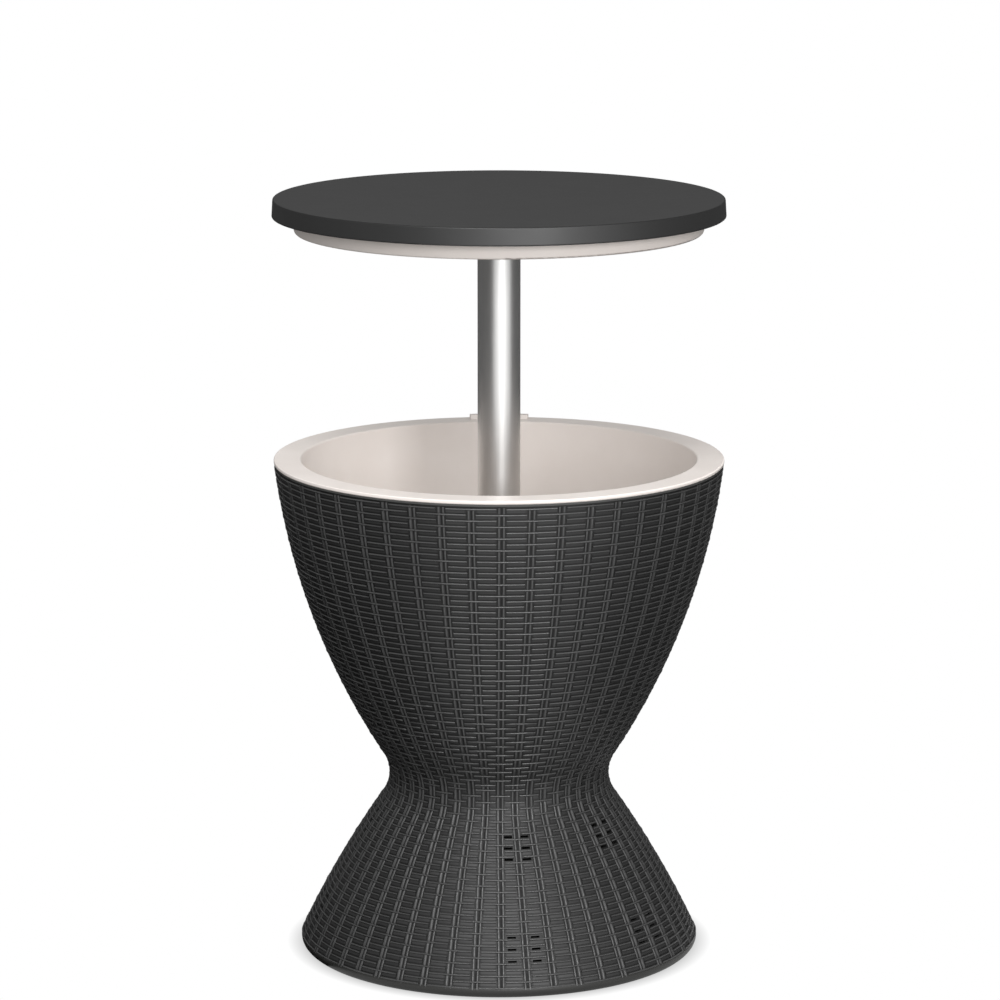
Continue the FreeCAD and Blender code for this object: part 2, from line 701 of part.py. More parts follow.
def tabletop_underside():
    """Steep-sided pan under the top, screwed to it through a flange inside the skirt."""
    body = new_body("tabletop_underside", PAN_FLOOR)
    flange = "(pan_depth + pan_recess)"
    turned = revolve(body, outline(new_sketch(body), [
        ("tube_radius + pole_gap", "0"),
        (PAN_FLOOR_RADIUS, "0"),
        (PAN_RADIUS, flange),
        (PAN_FLANGE_RADIUS, flange),
        (PAN_FLANGE_RADIUS, f"{flange} + pan_wall"),
        (f"{PAN_RADIUS} - pan_wall", f"{flange} + pan_wall"),
        (f"{PAN_FLOOR_RADIUS} - pan_wall", "pan_wall"),
        ("tube_radius + pole_gap", "pan_wall"),
    ]))
    round_rings(body, turned, [(PAN_FLOOR_RADIUS, "0")], "pan_round")
    drill(body, f"{flange} + pan_wall", SCREW_HOLE, "pan_wall", PAN_SCREW_CIRCLE, "pan_screw_count")


def drain_fitting():
    """Flanged outlet through the bucket's floor."""
    body = new_body("drain_fitting", f"{BUCKET_FLOOR} + gasket_wall", "-drain_offset")
    tail = "-(gasket_wall + bucket_wall + drain_nut_height + drain_tail)"
    revolve(body, outline(new_sketch(body), [
        ("drain_bore", tail),
        ("drain_tube_radius", tail),
        ("drain_tube_radius", "0"),
        ("drain_flange_radius", "0"),
        ("drain_flange_radius", "drain_flange"),
        ("drain_bore", "drain_flange"),
    ]))


def drain_gasket():
    """Rubber ring under the fitting's flange."""
    body = new_body("drain_gasket", BUCKET_FLOOR, "-drain_offset")
    pad(body, circle(circle(new_sketch(body, "XY_Plane"), "drain_flange_radius"), DRAIN_HOLE), "gasket_wall")


def drain_nut():
    """Large nut that clamps the fitting under the bucket's floor."""
    body = new_body("drain_nut", f"{LEDGE_TOP} - drain_nut_height", "-drain_offset")
    face = hexagon(new_sketch(body, "XY_Plane"), "drain_nut_across")
    pad(body, circle(face, "drain_tube_radius + screw_fit"), "drain_nut_height")


def drain_plug():
    """Rubber stopper with a knob to pull it by."""
    body = new_body("drain_plug", f"{BUCKET_FLOOR} + gasket_wall + drain_flange + seat_gap", "-drain_offset")
    neck_top = "(stopper_head + stopper_neck)"
    revolve(body, outline(new_sketch(body), [
        ("0", "-stopper_length"),
        ("drain_bore - running_fit", "-stopper_length"),
        ("drain_bore - running_fit", "0"),
        ("stopper_head_radius", "0"),
        ("stopper_head_radius", "stopper_head"),
        ("stopper_neck_radius", "stopper_head"),
        ("stopper_neck_radius", neck_top),
        ("stopper_knob_radius", f"{neck_top} + stopper_neck_radius"),
        ("0", f"{neck_top} + stopper_neck_radius + stopper_knob_radius", "stopper_knob_radius"),
    ]))


base_shell()
body_shell()
screws("base_screws", f"{SEAM} - base_deck", "boss_circle", "base_screw_count", "screw_radius",
       "base_deck + screw_bite", "screw_head_radius", "screw_head", hang=True)
ice_bucket()
post_flange()
post_gasket()
screws("post_screws", FLANGE_TOP, "bolt_circle", "bolt_count", "bolt_radius",
       "flange_plate + gasket_wall + bolt_bite", "bolt_head_radius", "bolt_head")
post_pin()
inner_post()
cam_plug()
lock_ring()
cam_washer()
screws("cam_screw", f"{CAM_TOP} + washer_wall", "0", None, "bolt_radius", "washer_wall + cam_screw_depth",
       "bolt_head_radius", "bolt_head")
outer_tube()
guide_bush()
pole_head()
tube_screws()
screws("head_screws", HEAD_FACE, "head_circle", "head_screw_count", "screw_radius",
       "head_plate + screw_bite", "screw_head_radius", "screw_head", hang=True)
tabletop_cover()
tabletop_underside()
screws("tabletop_screws", f"{SKIRT_EDGE} + pan_recess", PAN_SCREW_CIRCLE, "pan_screw_count", "screw_radius",
       "pan_wall + screw_bite", "screw_head_radius", "screw_head", hang=True)
drain_fitting()
drain_gasket()
drain_nut()
drain_plug()

doc.recompute()
for thing in doc.Objects:
    if {"Invalid", "Error"} & set(thing.State):
        raise RuntimeError(f"{thing.Label} failed: {thing.State}")
pieces = [thing for thing in doc.Objects if thing.TypeId == "PartDesign::Body"]
for piece in pieces:
    if piece.Shape.isNull() or not piece.Shape.isValid():
        raise RuntimeError(f"{piece.Label} has no valid shape")

os.makedirs("parts", exist_ok=True)
for piece in pieces:
    piece.Shape.exportStep(f"parts/{piece.Label}.step")
    print(piece.Label, len(piece.Shape.Solids), round(piece.Shape.Volume / 1000, 2), "cm3")
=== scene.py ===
"""Ice bucket coffee table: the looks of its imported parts, and the woven relief of its two shells.

Metres, in the frame of the solids: +Z is up, the front faces -Y, and the foot stands at Z 0.
"""
import math

import bpy
import numpy as np
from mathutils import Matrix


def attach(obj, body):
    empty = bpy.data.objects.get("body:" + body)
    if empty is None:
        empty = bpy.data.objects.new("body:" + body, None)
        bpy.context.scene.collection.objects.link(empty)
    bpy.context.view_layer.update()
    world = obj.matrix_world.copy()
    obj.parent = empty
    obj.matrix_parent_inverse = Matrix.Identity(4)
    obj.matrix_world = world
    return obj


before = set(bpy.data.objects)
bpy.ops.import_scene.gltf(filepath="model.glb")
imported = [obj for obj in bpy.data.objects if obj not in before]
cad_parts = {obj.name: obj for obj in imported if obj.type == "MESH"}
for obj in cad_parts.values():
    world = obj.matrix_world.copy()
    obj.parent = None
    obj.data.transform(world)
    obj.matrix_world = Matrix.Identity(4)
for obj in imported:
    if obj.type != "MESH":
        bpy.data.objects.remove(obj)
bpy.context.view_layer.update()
bpy.ops.object.select_all(action="DESELECT")

# Shell walls: the two halves of the pedestal, each injection moulded in black polypropylene with its
# weave on it. What shows of them is the ground between the strands and the edges of the vent slots.
WALL_SHADES = ("#0d0d0d", "#131312")
POLYPROPYLENE_IOR = 1.49
MOULD_TEXTURE = 0.0012      # the mould's grain is about 0.1 mm; drawn this coarse so that it shows
TEXTURE_DEPTH = 0.0002
SHADE_DRIFT = 0.035         # patches of slightly duller plastic
SHEEN_DRIFT = 0.05          # how far their roughness strays to either side


def linear(code):
    """The linear colour of an sRGB hex code."""
    parts = [int(code[place:place + 2], 16) / 255 for place in (1, 3, 5)]
    return [*(part / 12.92 if part <= 0.04045 else ((part + 0.055) / 1.055) ** 2.4 for part in parts), 1]


def add(owner, kind, sockets, **settings):
    """A node with its settings, and for each of its sockets a value or the output that it is linked to."""
    node = owner.node_tree.nodes.new("ShaderNode" + kind)
    for name, setting in settings.items():
        setattr(node, name, setting)
    for name, source in sockets.items():
        if isinstance(source, bpy.types.NodeSocket):
            owner.node_tree.links.new(source, node.inputs[name])
        else:
            node.inputs[name].default_value = source
    return node


def blank(name):
    """A new material with no nodes."""
    material = bpy.data.materials.new(name)
    material.use_nodes = True
    material.node_tree.nodes.clear()
    return material


def moulded(name, shades, roughness, ior=POLYPROPYLENE_IOR, grain=0.15, upright_light=None):
    """A moulded plastic or rubber: two close shades that drift over it, and the grain of the mould as bump.

    Where a lighter shade for upright faces is given, they take it: painted light on the sides.
    """
    material = blank(name)
    place = add(material, "TexCoord", {}).outputs["Object"]
    patches = add(material, "TexNoise", {"Vector": place, "Scale": 1 / SHADE_DRIFT, "Detail": 3.0})
    drift = patches.outputs["Fac"]
    texture = add(material, "TexNoise", {"Vector": place, "Scale": 1 / MOULD_TEXTURE, "Detail": 2.0})
    shade = add(material, "MixRGB", {"Fac": drift, "Color1": linear(shades[0]), "Color2": linear(shades[1])})
    # painted light: upright faces take a lighter shade than the top
    if upright_light:
        facing = add(material, "SeparateXYZ", {"Vector": add(material, "NewGeometry", {}).outputs["Normal"]})
        level = add(material, "Math", {0: facing.outputs["Z"]}, operation="ABSOLUTE").outputs[0]
        shade = add(material, "MixRGB", {
            "Fac": level, "Color1": linear(upright_light), "Color2": shade.outputs["Color"]})
    rough = add(material, "MapRange", {
        "Value": drift, "To Min": roughness - SHEEN_DRIFT, "To Max": roughness + SHEEN_DRIFT})
    bump = add(material, "Bump", {
        "Height": texture.outputs["Fac"], "Strength": grain, "Distance": TEXTURE_DEPTH})
    shader = add(material, "BsdfPrincipled", {
        "Base Color": shade.outputs["Color"], "Roughness": rough.outputs["Result"], "IOR": ior,
        "Normal": bump.outputs["Normal"]})
    add(material, "OutputMaterial", {"Surface": shader.outputs["BSDF"]})
    return material


def coat(material, *names):
    """Give carried-over parts their material."""
    for name in names:
        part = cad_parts[name]
        if not part.material_slots:
            part.data.materials.append(material)
        for slot in part.material_slots:
            slot.material = material


# Matt and nearly black, darker than the weave's bands: the plastic's own black, deepened as painted shade in
# the gaps between the strands, so that the strands stand out from it.
wall_resin = moulded("black_polypropylene_moulded", WALL_SHADES, roughness=0.55)
coat(wall_resin, "base_shell", "body_shell")

# Foot hem: the plain band along the bottom of the base shell, moulded with it. It is rolled under at the
# floor, as proud as the weave, and the stakes end against its upper edge.
WAIST_AXIS, WAIST_LEVEL, WAIST_CURVE = 0.1686, 0.1948, 0.0475   # the waist's arc: its centre and radius
FLARE_CURVE, FLARE_LEAN = 1.088, math.radians(34.7)     # the long arc below it, and the slope where they meet
FOOT_ROLL = 0.0075
HEM_WALL, HEM_TOP = 0.0011, 0.0098
HEM_START = 0.0006                              # its inner edge, just clear of the floor
HEM_TURNS = (-58, -44, -30, -15, 0, 12, 22)     # degrees round the roll
HEM_LIP = ((0, 0), (0.0008, 0.0003), (0.0028, 0))       # inwards and upwards, over its upper edge
HEM_SHADES = ("#1f1f1e", "#2a2a28")
BAND_FACETS, BAND_SMOOTHING = 240, math.radians(50)

flare_axis = WAIST_AXIS - (WAIST_CURVE + FLARE_CURVE) * math.cos(FLARE_LEAN)
flare_level = WAIST_LEVEL - (WAIST_CURVE + FLARE_CURVE) * math.sin(FLARE_LEAN)
roll_axis = flare_axis + math.sqrt((FLARE_CURVE - FOOT_ROLL) ** 2 - (FOOT_ROLL - flare_level) ** 2)
flare_up = math.asin((HEM_TOP - flare_level) / (FLARE_CURVE + HEM_WALL))
hem_radius = flare_axis + math.cos(flare_up) * (FLARE_CURVE + HEM_WALL)
hem_rings = [(roll_axis, HEM_START)]
for degrees in HEM_TURNS:
    turn = math.radians(degrees)
    hem_rings.append((roll_axis + (FOOT_ROLL + HEM_WALL) * math.cos(turn),
                      FOOT_ROLL + (FOOT_ROLL + HEM_WALL) * math.sin(turn)))
hem_rings += [(hem_radius - inward, HEM_TOP + upward) for inward, upward in HEM_LIP]


def ring_band(name, rings):
    """A round band: a circle extruded upwards, ring by ring, and scaled to each ring's radius."""
    radius, level = rings[0]
    bpy.ops.mesh.primitive_circle_add(vertices=BAND_FACETS, radius=radius, location=(0, 0, level))
    band = bpy.context.object
    band.name = name
    bpy.ops.object.transform_apply(location=True)
    bpy.ops.object.mode_set(mode="EDIT")
    for next_radius, next_level in rings[1:]:
        bpy.ops.mesh.extrude_region_move(TRANSFORM_OT_translate={"value": (0, 0, next_level - level)})
        growth = next_radius / radius
        bpy.ops.transform.resize(value=(growth, growth, 1), center_override=(0, 0, 0))
        radius, level = next_radius, next_level
    bpy.ops.mesh.select_all(action="SELECT")
    bpy.ops.mesh.normals_make_consistent(inside=False)
    bpy.ops.object.mode_set(mode="OBJECT")
    bpy.ops.object.shade_smooth_by_angle(angle=BAND_SMOOTHING)
    return band


def dress(piece, material, body):
    """Give a new piece its material and the body that it rides on."""
    piece.data.materials.append(material)
    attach(piece, body)


# A clean edge, lighter than the ground of the weave, with a soft line of light along its roll.
hem_resin = moulded("black_polypropylene_hem", HEM_SHADES, roughness=0.48)
dress(ring_band("foot_hem", hem_rings), hem_resin, "base")

# Base weave: the basket relief of the flare, moulded with the wall. 48 stakes of two thin rods each stand
# on it, and flat strands with a thin bead along their upper edge lie across one stake and behind the next.
MM = 0.001
SEAM_LEVEL, RIM_UNDERSIDE = 0.206, 0.5468
BOWL_CURVE, BOWL_LEAN = 0.7785, math.radians(32.7)      # the long arc above the waist
OUTLINE_TOP, OUTLINE_STEPS = RIM_UNDERSIDE + 0.02, 4001
STAKES = 48
STAKE_STEP = 2 * math.pi / STAKES
FIRST_STAKE = math.radians(0.62)
STAKE_HALF = 4.05 * MM
ROW_STEP = 6.56 * MM
PITCH = 20 * MM             # one stake's share of the flat pattern, before it is stretched round the wall
STRAND_REACH = 9.9 * MM     # half of a strand on the flat pattern
STRAND_END = 5.1 * MM       # from a strand's end to the middle of the stake that it goes behind
CREST = 5.1 * MM            # of a row's bead above the row's lower edge
BEAD_TOP = 1.5 * MM         # the height that the relief attribute calls 1
NEAR = 0.05 * MM            # within which a vertex counts as lying on a line
MERGE_REACH = 0.02 * MM     # within which the ends of two copies are joined

# A strand in mm: how high it stands at each level, from its lower edge over the flat band and the bead.
# Where it crosses a stake, the band sinks between the rods and the bead rises over them.
STRAND_ROWS = ((0.35, -0.35), (0.6, 0.5), (2.2, 0.62), (3.85, 0.45), (4.05, 1.0), (4.35, 1.47), (4.85, 1.6),
               (5.35, 1.47), (5.72, 1.02), (5.9, -0.35))
STRAND_CUTS = (3.8, 5.0, 9.8)                   # across it: beside the stake, and near its end
BEAD_FOOT, BEAD_BACK = 3.95 * MM, 5.8 * MM      # the levels between which the bead lies
BAND_SINK, BEAD_RISE = 0.3, 0.15 * MM           # over the stake: a share of the height, and a move up
TUCK = 0.35 * MM                                # depth of the ends under the wall's surface

# A stake in mm: how high it stands from its edge over one rod to the groove in its middle.
STAKE_COLUMNS = ((4.05, -0.35), (3.85, 0.6), (3.45, 1.1), (2.7, 1.32), (1.8, 1.1), (1.1, 0.7), (0.6, 0.15),
                 (0, 0.0))
STAKE_CUTS = (0.34, 1, 1.66)                    # in rows below the crest that lies across it
STAKE_DIP = 0.5                                 # share of its height that is left under a bead

# Rows, and how far up the wall each one's crest lies, measured along it. The rows between are spaced evenly.
BASE_ROWS, BASE_CRESTS = 34, ((-2, -0.0014), (0, 0.0117), (27, 0.1888), (33, 0.2320), (36, 0.2536))
WEAVE_FOOT = 0.0094
WEAVE_SMOOTHING = math.radians(48)
SWAY_ROWS = 64
LEVEL_SWAY, TILT_SWAY, HEIGHT_SWAY = 0.12, 0.18, 0.14   # of single strands: mm, mm and a share of the height

# The wall's vent slots. Their eighth group, at the front left, stays covered: there the photograph shows an
# unbroken weave.
VENT_LEVELS = (0.1558, 0.14505, 0.1343, 0.06, 0.0484, 0.0368)
VENT_BEARINGS = [math.radians(first + 45 * group) for group in range(7) for first in (4.0, 11.5)]
VENT_HALF_WIDTH, VENT_HALF_HEIGHT = 0.0052, 0.0015

# Painted light on the weave: its valleys are painted dark as shade, and the crests of beads and rods lighter
# as highlight.
PAINTED_VALLEY_SHADE, BAND = "#070707", "#272727"
BEAD_HIGHLIGHT_SHADES, ROD_HIGHLIGHT_SHADES = ("#3b3b3b", "#4a4a4a"), ("#464646", "#585858")
HIGHLIGHT_DRIFT = 0.012           # the crests' painted highlight shade strays at random in patches of about this size
BAND_HEIGHTS, CREST_HEIGHTS = (0.1, 0.45), (0.6, 0.95)  # shares of a bead's height over which the painted shade and painted highlight turn
GLOSS_HEIGHT, VALLEY_ROUGHNESS = 0.85, 0.75
WEAVE_GRAIN = 0.12

flare_top = WAIST_LEVEL - WAIST_CURVE * math.sin(FLARE_LEAN)
bowl_axis = WAIST_AXIS - (WAIST_CURVE + BOWL_CURVE) * math.cos(BOWL_LEAN)
bowl_level = WAIST_LEVEL + (WAIST_CURVE + BOWL_CURVE) * math.sin(BOWL_LEAN)
bowl_foot = WAIST_LEVEL + WAIST_CURVE * math.sin(BOWL_LEAN)

# The wall's outline from the floor up: its radius, the run along it, and the way that its surface faces.
levels = np.linspace(0, OUTLINE_TOP, OUTLINE_STEPS)
waist_part = WAIST_AXIS - np.sqrt(np.clip(WAIST_CURVE ** 2 - (levels - WAIST_LEVEL) ** 2, 0, None))
flare_part = flare_axis + np.sqrt(FLARE_CURVE ** 2 - (levels - flare_level) ** 2)
bowl_part = bowl_axis + np.sqrt(BOWL_CURVE ** 2 - (levels - bowl_level) ** 2)
radii = np.where(levels < flare_top, flare_part, np.where(levels > bowl_foot, bowl_part, waist_part))
climb = np.concatenate([[0], np.cumsum(np.hypot(np.diff(levels), np.diff(radii)))])
outward_radius, outward_level = np.gradient(levels, climb), -np.gradient(radii, climb)
sway = np.random.default_rng(7).uniform(-1, 1, (STAKES, SWAY_ROWS, 2))


def choose(piece, test):
    """In edit mode, select just the vertices whose place passes a test."""
    bpy.ops.mesh.select_all(action="DESELECT")
    bpy.ops.object.mode_set(mode="OBJECT")
    for vertex in piece.data.vertices:
        vertex.select = test(vertex.co)
    bpy.ops.object.mode_set(mode="EDIT")


def cut(places, normal, **clear):
    """In edit mode, cut the whole piece by a plane at each of the places along a normal."""
    for place in places:
        bpy.ops.mesh.select_all(action="SELECT")
        bpy.ops.mesh.bisect(plane_co=[place * part for part in normal], plane_no=normal, **clear)


def flat_sheet(name, reach, low, high):
    """A flat strip in edit mode, from -reach to reach and from low to high, to be cut and raised."""
    bpy.ops.mesh.primitive_plane_add(size=1)
    sheet = bpy.context.object
    sheet.name = name
    bpy.ops.object.mode_set(mode="EDIT")
    bpy.ops.transform.resize(value=(2 * reach, high - low, 1), center_override=(0, 0, 0))
    bpy.ops.transform.translate(value=(0, (low + high) / 2, 0))
    return sheet


def flat_strand(name):
    """One strand laid flat over the stake at x 0: its band and bead raised, and its ends tucked in."""
    strand = flat_sheet(name, STRAND_REACH, STRAND_ROWS[0][0] * MM, STRAND_ROWS[-1][0] * MM)
    cut([side * across * MM for across in STRAND_CUTS for side in (-1, 1)], (1, 0, 0))
    cut([level * MM for level, height in STRAND_ROWS[1:-1]], (0, 1, 0))
    for level, height in STRAND_ROWS:
        choose(strand, lambda co: abs(co.y - level * MM) < NEAR)
        bpy.ops.transform.translate(value=(0, 0, height * MM))
    choose(strand, lambda co: abs(co.x) < STAKE_HALF and co.y < BEAD_FOOT)
    bpy.ops.transform.resize(value=(1, 1, BAND_SINK), center_override=(0, 0, 0))
    choose(strand, lambda co: abs(co.x) < STAKE_HALF and BEAD_FOOT < co.y < BEAD_BACK)
    bpy.ops.transform.translate(value=(0, 0, BEAD_RISE))
    choose(strand, lambda co: abs(co.x) > STRAND_REACH - NEAR)
    bpy.ops.transform.resize(value=(1, 1, 0), center_override=(0, 0, -TUCK))
    bpy.ops.object.mode_set(mode="OBJECT")
    return strand


def flat_stake(name):
    """Two rows' length of a stake laid flat: two rods on a low strip, dipping where a strand lies across."""
    stake = flat_sheet(name, STAKE_HALF, CREST - 2 * ROW_STEP, CREST)
    cut([side * across * MM for across, height in STAKE_COLUMNS[1:-1] for side in (-1, 1)] + [0], (1, 0, 0))
    cut([CREST - rows * ROW_STEP for rows in STAKE_CUTS], (0, 1, 0))
    for across, height in STAKE_COLUMNS:
        choose(stake, lambda co: abs(abs(co.x) - across * MM) < NEAR)
        bpy.ops.transform.translate(value=(0, 0, height * MM))
    choose(stake, lambda co: abs(abs(co.y - CREST + ROW_STEP) - ROW_STEP) < NEAR and co.z > 0)
    bpy.ops.transform.resize(value=(1, 1, STAKE_DIP), center_override=(0, 0, 0))
    bpy.ops.object.mode_set(mode="OBJECT")
    return stake


def repeat(piece, count, step, merge=False):
    """Copies in a row, by an array modifier that is applied."""
    array = piece.modifiers.new("repeat", "ARRAY")
    array.count = count
    array.use_relative_offset = False
    array.use_constant_offset = True
    array.constant_offset_displace = step
    array.use_merge_vertices = merge
    array.merge_threshold = MERGE_REACH
    bpy.ops.object.modifier_apply(modifier=array.name)


def wrap(piece, crests, uneven):
    """Lay a flat pattern on the wall.

    x runs round the wall, y climbs it to the rows' crests, and z stands out from it. An uneven pattern sways
    a little from strand to strand.
    """
    flat = np.empty(len(piece.data.vertices) * 3)
    piece.data.vertices.foreach_get("co", flat)
    x, y, z = flat.reshape(-1, 3).T
    stake = np.round(x / PITCH)
    across = x - stake * PITCH
    draw = sway[stake.astype(int) % STAKES, np.floor(y / ROW_STEP).astype(int) % SWAY_ROWS] * uneven
    y = y + (draw[:, 0] * LEVEL_SWAY + draw[:, 1] * TILT_SWAY * across / (PITCH / 2)) * MM
    z = np.where(z > 0, z * (1 + HEIGHT_SWAY * draw[:, 1]), z)
    relief = piece.data.attributes.new("relief", "FLOAT", "POINT")
    relief.data.foreach_set("value", (z / BEAD_TOP).astype(np.float32))
    rows, runs = zip(*crests)
    run = np.interp(y, [row * ROW_STEP + CREST for row in rows], runs)
    radius = np.interp(run, climb, radii)
    room = STAKE_STEP * radius - STRAND_END - STAKE_HALF
    beyond = np.clip(np.abs(across) - STAKE_HALF, 0, None) / (STRAND_REACH - STAKE_HALF)
    offset = np.sign(across) * (np.minimum(np.abs(across), STAKE_HALF) + beyond * room)
    bearing = FIRST_STAKE + stake * STAKE_STEP + offset / radius
    reach = radius + z * np.interp(run, climb, outward_radius)
    level = np.interp(run, climb, levels) + z * np.interp(run, climb, outward_level)
    placed = np.stack([reach * np.sin(bearing), -reach * np.cos(bearing), level], axis=1)
    piece.data.vertices.foreach_set("co", placed.ravel())
    piece.data.update()


def trim(piece, low, high):
    """Cut a wrapped piece off level at its foot and at its top, and smooth it."""
    bpy.ops.object.mode_set(mode="EDIT")
    cut([low], (0, 0, 1), clear_inner=True)
    cut([high], (0, 0, 1), clear_outer=True)
    bpy.ops.object.mode_set(mode="OBJECT")
    bpy.ops.object.shade_smooth_by_angle(angle=WEAVE_SMOOTHING)


def strands(name, rows, crests, low, high):
    """All strands of one shell: one round of 24, then rows that each start one stake further round."""
    piece = flat_strand(name)
    repeat(piece, STAKES // 2, (2 * PITCH, 0, 0))
    repeat(piece, rows, (PITCH, ROW_STEP, 0))
    wrap(piece, crests, uneven=True)
    trim(piece, low, high)
    return piece


def stakes(name, rows, crests, low, high):
    """All stakes of one shell, whose dips meet the strands that lie across them."""
    piece = flat_stake(name)
    repeat(piece, rows // 2 + 2, (0, 2 * ROW_STEP, 0), merge=True)
    repeat(piece, STAKES // 2, (2 * PITCH, 0, 0))
    repeat(piece, 2, (PITCH, ROW_STEP, 0))
    wrap(piece, crests, uneven=False)
    trim(piece, low, high)
    return piece


def woven_resin(name, crest_highlight, gloss):
    """The weave's plastic: its crests are painted lighter as highlight and are smoother, and its low parts
    are painted dark as shade.
    """
    material = blank(name)
    place = add(material, "TexCoord", {}).outputs["Object"]
    relief = add(material, "Attribute", {}, attribute_name="relief").outputs["Fac"]
    drift = add(material, "TexNoise", {"Vector": place, "Scale": 1 / HIGHLIGHT_DRIFT, "Detail": 3.0})
    low, high = (
        add(material, "MapRange", {"Value": relief, "From Min": start, "From Max": end}).outputs["Result"]
        for start, end in (BAND_HEIGHTS, CREST_HEIGHTS))
    # painted highlight on the crests over painted shade in the valleys, mixed by the relief's height
    highlight = add(material, "MixRGB", {
        "Fac": drift.outputs["Fac"], "Color1": linear(crest_highlight[0]), "Color2": linear(crest_highlight[1])})
    band = add(material, "MixRGB", {"Fac": low, "Color1": linear(PAINTED_VALLEY_SHADE), "Color2": linear(BAND)})
    shade = add(material, "MixRGB", {
        "Fac": high, "Color1": band.outputs["Color"], "Color2": highlight.outputs["Color"]})
    rough = add(material, "MapRange", {
        "Value": relief, "From Max": GLOSS_HEIGHT, "To Min": VALLEY_ROUGHNESS, "To Max": gloss})
    texture = add(material, "TexNoise", {"Vector": place, "Scale": 1 / MOULD_TEXTURE, "Detail": 2.0})
    bump = add(material, "Bump", {
        "Height": texture.outputs["Fac"], "Strength": WEAVE_GRAIN, "Distance": TEXTURE_DEPTH})
    shader = add(material, "BsdfPrincipled", {
        "Base Color": shade.outputs["Color"], "Roughness": rough.outputs["Result"], "IOR": POLYPROPYLENE_IOR,
        "Normal": bump.outputs["Normal"]})
    add(material, "OutputMaterial", {"Surface": shader.outputs["BSDF"]})
    return material


# The beads and rods catch the light as thin lines, helped by a painted highlight on their crests, and the
# bands between them are flat and darker, with painted shade in the valleys.
strand_resin = woven_resin("black_polypropylene_strands", BEAD_HIGHLIGHT_SHADES, gloss=0.27)
stake_resin = woven_resin("black_polypropylene_stakes", ROD_HIGHLIGHT_SHADES, gloss=0.3)

base_weave = strands("base_weave", BASE_ROWS, BASE_CRESTS, WEAVE_FOOT, SEAM_LEVEL)
over_vent = []
for face in base_weave.data.polygons:
    x, y, z = face.center
    radius, bearing = math.hypot(x, y), math.atan2(x, -y)
    at_level = any(abs(z - vent) < VENT_HALF_HEIGHT for vent in VENT_LEVELS)
    turn = min(abs(math.remainder(bearing - vent, 2 * math.pi)) for vent in VENT_BEARINGS)
    over_vent.append(at_level and turn * radius < VENT_HALF_WIDTH)
bpy.ops.object.mode_set(mode="EDIT")
bpy.ops.mesh.select_all(action="DESELECT")
bpy.ops.mesh.select_mode(type="FACE")
bpy.ops.object.mode_set(mode="OBJECT")
base_weave.data.polygons.foreach_set("select", over_vent)
bpy.ops.object.mode_set(mode="EDIT")
bpy.ops.mesh.delete(type="FACE")
bpy.ops.mesh.select_mode(type="VERT")
bpy.ops.object.mode_set(mode="OBJECT")
dress(base_weave, strand_resin, "base")
base_stakes = stakes("base_stakes", BASE_ROWS, BASE_CRESTS, WEAVE_FOOT, SEAM_LEVEL)
dress(base_stakes, stake_resin, "base")

# Body weave and edge: the same basket relief on the bowl, moulded with the body shell, which stands on the
# base's deck and is screwed to it from below. The weave ends at a groove under a plain band, which runs
# round under the bucket's ring.
BODY_ROWS, BODY_CRESTS = 56, ((-2, 0.21864), (56, 0.60058))
WEAVE_TOP = 0.5434
EDGE_FOOT, EDGE_WALL = 0.5446, 0.0012
EDGE_GRIP = 0.0005              # how deep the band's foot starts in the wall
EDGE_BEVEL = (0.0003, 0.0004)   # off the band's lower corner: inwards and upwards
# The band's light grey is painted light.
EDGE_SHADES = ("#4a4a49", "#565655")

foot_radius, top_radius = np.interp((EDGE_FOOT, RIM_UNDERSIDE), levels, radii).tolist()
edge_rings = [
    (foot_radius - EDGE_GRIP, EDGE_FOOT),
    (foot_radius + EDGE_WALL - EDGE_BEVEL[0], EDGE_FOOT),
    (foot_radius + EDGE_WALL, EDGE_FOOT + EDGE_BEVEL[1]),
    (top_radius + EDGE_WALL, RIM_UNDERSIDE),
]

# The band is smoother than the weave, and its grey, much lighter than the black plastic it is moulded from,
# is painted light; it reads as one thin grey line.
edge_resin = moulded("black_polypropylene_edge", EDGE_SHADES, roughness=0.4)
dress(ring_band("body_edge", edge_rings), edge_resin, "base")
body_weave = strands("body_weave", BODY_ROWS, BODY_CRESTS, SEAM_LEVEL, WEAVE_TOP)
dress(body_weave, strand_resin, "base")
body_stakes = stakes("body_stakes", BODY_ROWS, BODY_CRESTS, SEAM_LEVEL, WEAVE_TOP)
dress(body_stakes, stake_resin, "base")

# Screws, pin, washer and flange: steel, turned or pressed and zinc plated. They hold the shells, the post,
# the pole head and the tabletop together.
STEEL_SHADES = ("#a9a9a6", "#b9b9b8")
PLATING_CLOUDS = 0.004
MARK_DEPTH = 0.0001
MARK_GLOSS, MARK_DULLNESS = 0.04, 0.06      # how far the roughness strays below and above its middle


def metal(name, shades, roughness, spacing, stretch, grain):
    """A bare metal: two close shades in marks drawn long up the piece, or in clouds where not stretched."""
    material = blank(name)
    place = add(material, "TexCoord", {}).outputs["Object"]
    along = add(material, "Mapping", {"Vector": place, "Scale": (1, 1, stretch)}).outputs["Vector"]
    marks = add(material, "TexNoise", {"Vector": along, "Scale": 1 / spacing, "Detail": 3.0}).outputs["Fac"]
    shade = add(material, "MixRGB", {"Fac": marks, "Color1": linear(shades[0]), "Color2": linear(shades[1])})
    rough = add(material, "MapRange", {
        "Value": marks, "To Min": roughness - MARK_GLOSS, "To Max": roughness + MARK_DULLNESS})
    bump = add(material, "Bump", {"Height": marks, "Strength": grain, "Distance": MARK_DEPTH})
    shader = add(material, "BsdfPrincipled", {
        "Base Color": shade.outputs["Color"], "Metallic": 1.0, "Roughness": rough.outputs["Result"],
        "Normal": bump.outputs["Normal"]})
    add(material, "OutputMaterial", {"Surface": shader.outputs["BSDF"]})
    return material


